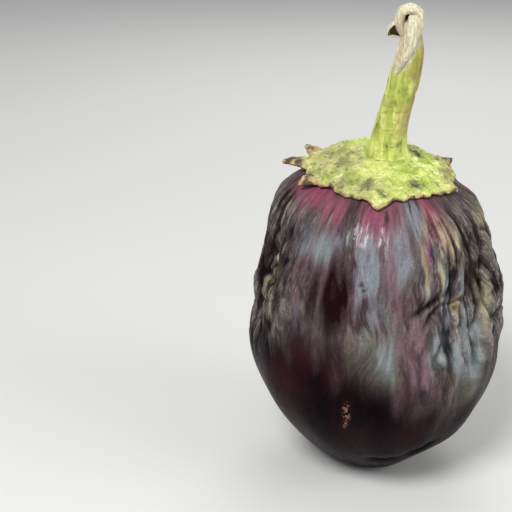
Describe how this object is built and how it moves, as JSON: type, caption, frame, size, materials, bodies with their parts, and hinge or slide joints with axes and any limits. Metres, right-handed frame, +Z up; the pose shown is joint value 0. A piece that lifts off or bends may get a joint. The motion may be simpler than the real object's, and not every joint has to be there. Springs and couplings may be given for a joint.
{
  "type": "eggplant",
  "caption": "Ripe, slightly shrivelled globe eggplant with its green calyx and a leaning stem that has a torn, dry end.",
  "frame": {"origin": "middle of the small flat spot at the blossom end that the eggplant stands on", "axes": "+Z up through the fruit towards the stem; the stem leans towards -Y, which is the front"},
  "size_m": [0.1006, 0.1009, 0.1886],
  "materials": {
    "skin": "moderately glossy, wrinkled skin",
    "calyx": "matte, warty, dry at the rim",
    "stem": "satin, fibrous, dry at the end"
  },
  "bodies": {
    "root": {"fruit": "skin", "calyx": "calyx", "stem": "stem"}
  },
  "joints": []
}
